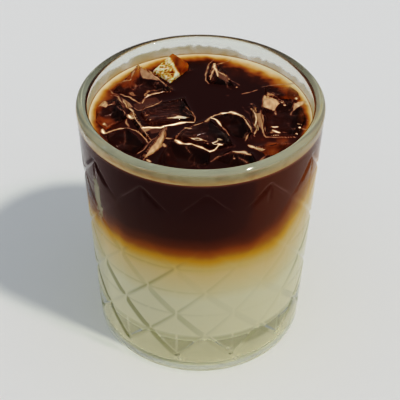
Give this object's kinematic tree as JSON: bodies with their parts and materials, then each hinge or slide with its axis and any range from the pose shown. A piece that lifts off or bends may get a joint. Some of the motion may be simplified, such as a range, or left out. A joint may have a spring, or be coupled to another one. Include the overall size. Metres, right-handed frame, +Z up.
{
  "type": "iced espresso tonic in a cut-glass tumbler",
  "caption": "Iced espresso tonic: dark coffee floating on pale tonic water, with ice at the surface, in a low tapered tumbler with a diamond-cut wall.",
  "frame": {"origin": "centre of the flat foot, on the table", "axes": "+Z up the glass; -Y is the side seen in the picture; +X to the viewer's right"},
  "size_m": [0.0818, 0.0818, 0.0934],
  "materials": {
    "glass": "clear pressed glass with a faint grey-green tint, polished",
    "tonic": "cloudy pale cream tonic water, amber just under the coffee",
    "coffee": "very dark brown coffee, amber where it thins out, with a wet mirror-like top",
    "ice": "clear wet ice, half melted"
  },
  "bodies": {
    "root": {"glass": "glass", "tonic": "tonic", "coffee": "coffee", "ice_01": "ice", "ice_02": "ice", "ice_03": "ice", "ice_04": "ice", "ice_05": "ice", "ice_06": "ice", "ice_07": "ice", "ice_08": "ice", "ice_09": "ice", "ice_10": "ice", "ice_11": "ice", "ice_12": "ice", "ice_13": "ice", "ice_14": "ice", "ice_15": "ice", "ice_16": "ice"}
  },
  "joints": []
}
